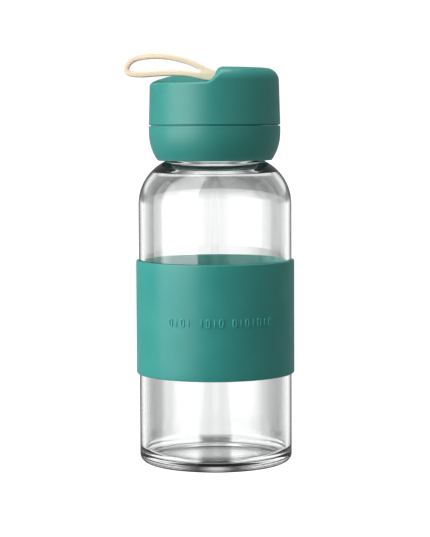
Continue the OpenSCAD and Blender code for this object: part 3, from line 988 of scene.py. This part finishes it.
def cap_mesh():
    """The cap's skin, closed below by its rim, the thin ring that stands just above the
    collar and closes the groove from inside, its bore and the ceiling over the liner."""
    skin = cap_skin()
    rows, sides = skin.shape[:2]
    verts = [tuple(p) for ring in skin for p in ring]
    crown = len(verts)
    verts.append(tuple(skin[-1].mean(0)))
    faces = []
    for i in range(rows - 1):
        for k in range(sides):
            m = (k + 1) % sides
            faces.append((i * sides + k, i * sides + m, (i + 1) * sides + m, (i + 1) * sides + k))
    for k in range(sides):
        faces.append(((rows - 1) * sides + k, (rows - 1) * sides + (k + 1) % sides, crown))
    under = arc(LID_R - 0.0004, CAP_SEAM + 0.0004, 0.0004, 0, -90, 6)
    bore = LID_R - SKIN
    under += [(bore + RING_T, CAP_SEAM), (bore + RING_T, cap_low.z)]
    under += [(bore + RING_EASE, cap_low.z), (bore, cap_low.z + RING_EASE)]
    under += [(bore, z) for z in np.linspace(cap_low.z + 0.002, disc_high, 6)]
    under += [(r, disc_high) for r in (0.02, 0.014, 0.008, 0.003)]
    last = 0
    for r, z in under:
        start = len(verts)
        for k in range(sides):
            a = 2 * math.pi * k / sides
            verts.append((r * math.cos(a), r * math.sin(a), z))
        for k in range(sides):
            m = (k + 1) % sides
            faces.append((last + m, last + k, start + k, start + m))
        last = start
    hub = len(verts)
    verts.append((0, 0, disc_high))
    for k in range(sides):
        faces.append((last + (k + 1) % sides, last + k, hub))
    mesh = bpy.data.meshes.new("scooped_cap")
    mesh.from_pydata(verts, [], faces)
    mesh.validate()
    mesh.shade_smooth()
    mesh.set_sharp_from_angle(angle=math.radians(50))
    return mesh


cap = bpy.data.objects.new("scooped_cap", cap_mesh())
scene.collection.objects.link(cap)
cap.data.materials.append(lid_paint)
top_lit.objects.link(cap)
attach(cap, "cap")
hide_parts("cap_shell")


# The strap: a loop moulded in beige silicone, with a flat band, rounded edges and a thick
# root with an eye, which turns on the pin.
strap_low, strap_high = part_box("strap")
STRAP_T = 0.0025
STRAP_EDGE = 0.0006
STRAP_BEIGE = (0.9, 0.71, 0.54)
EYE_R = 0.0022
# The middle of the band as it lies, from the root over the tip and back, in mm from the pin.
STRAP_LINE = [
    (-6.4, 3.5), (-11.8, 6.1), (-17.4, 7.8), (-23, 8.8), (-28.5, 8.95), (-32.9, 8.45),
    (-36.2, 7.5), (-38.5, 5.6), (-39.3, 3.4), (-38.2, 1.75), (-35.4, 1.2), (-31.5, 1.1),
    (-26, 1.5), (-20, 1.7), (-14, 1.5), (-9.3, 0.7), (-5.4, -0.3),
]


def strap_path(steps):
    """The strap's middle line as a smooth curve through its listed points, in metres."""
    p = [Vector(q) / 1000 for q in STRAP_LINE]
    line = []
    for i in range(len(p) - 1):
        a, b, c, d = p[max(i - 1, 0)], p[i], p[i + 1], p[min(i + 2, len(p) - 1)]
        for k in range(steps):
            t = k / steps
            line.append(0.5 * (2 * b + (c - a) * t + (2 * a - 5 * b + 4 * c - d) * t * t
                               + (3 * b - a - 3 * c + d) * t**3))
    return line + [p[-1]]


def strap_mesh():
    """The side view of the strap as a filled curve, given its width with rounded edges."""
    line = strap_path(6)
    beside = []
    for i in range(len(line)):
        along = (line[min(i + 1, len(line) - 1)] - line[max(i - 1, 0)]).normalized()
        beside.append(Vector((-along.y, along.x)) * STRAP_T / 2)
    outer = [p - n for p, n in zip(line, beside)]
    inner = [p + n for p, n in zip(line, beside)]
    eye = [Vector(q) for q in arc(0, 0, EYE_R, -100, 90, 20)]
    inner = [p for p in inner if p.x < -0.0091]
    crotch = [Vector(q) for q in arc(-0.0086, 0.0025, 0.0019 - STRAP_T / 2, -100, 60, 14)]
    curve = bpy.data.curves.new("strap_side", "CURVE")
    curve.dimensions = "2D"
    curve.fill_mode = "BOTH"
    curve.extrude = (strap_high.y - strap_low.y) / 2 - STRAP_EDGE
    curve.bevel_depth = STRAP_EDGE
    curve.bevel_resolution = 4
    curve.offset = -STRAP_EDGE
    for ring in (eye + outer, inner + crotch):
        spline = curve.splines.new("POLY")
        spline.points.add(len(ring) - 1)
        for point, q in zip(spline.points, ring):
            point.co = (q.x, q.y, 0, 1)
        spline.use_cyclic_u = True
    thing = bpy.data.objects.new("strap_side", curve)
    scene.collection.objects.link(thing)
    bpy.context.view_layer.update()
    mesh = bpy.data.meshes.new_from_object(
        thing.evaluated_get(bpy.context.evaluated_depsgraph_get())
    )
    bpy.data.objects.remove(thing)
    mesh.transform(Matrix.Translation(PIN) @ Matrix.Rotation(math.radians(90), 4, "X"))
    shape = bmesh.new()
    shape.from_mesh(mesh)
    bmesh.ops.remove_doubles(shape, verts=shape.verts, dist=0.000005)
    bmesh.ops.recalc_face_normals(shape, faces=shape.faces)
    shape.to_mesh(mesh)
    shape.free()
    mesh.shade_smooth()
    mesh.set_sharp_from_angle(angle=math.radians(40))
    mesh.materials.clear()
    return mesh


strap = bpy.data.objects.new("carrying_strap", strap_mesh())
scene.collection.objects.link(strap)
strap.data.materials.append(soft_silicone("beige_silicone", STRAP_BEIGE, 0.45, 0.0, 0.000006))
top_lit.objects.link(strap)
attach(strap, "strap")
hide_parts("strap")
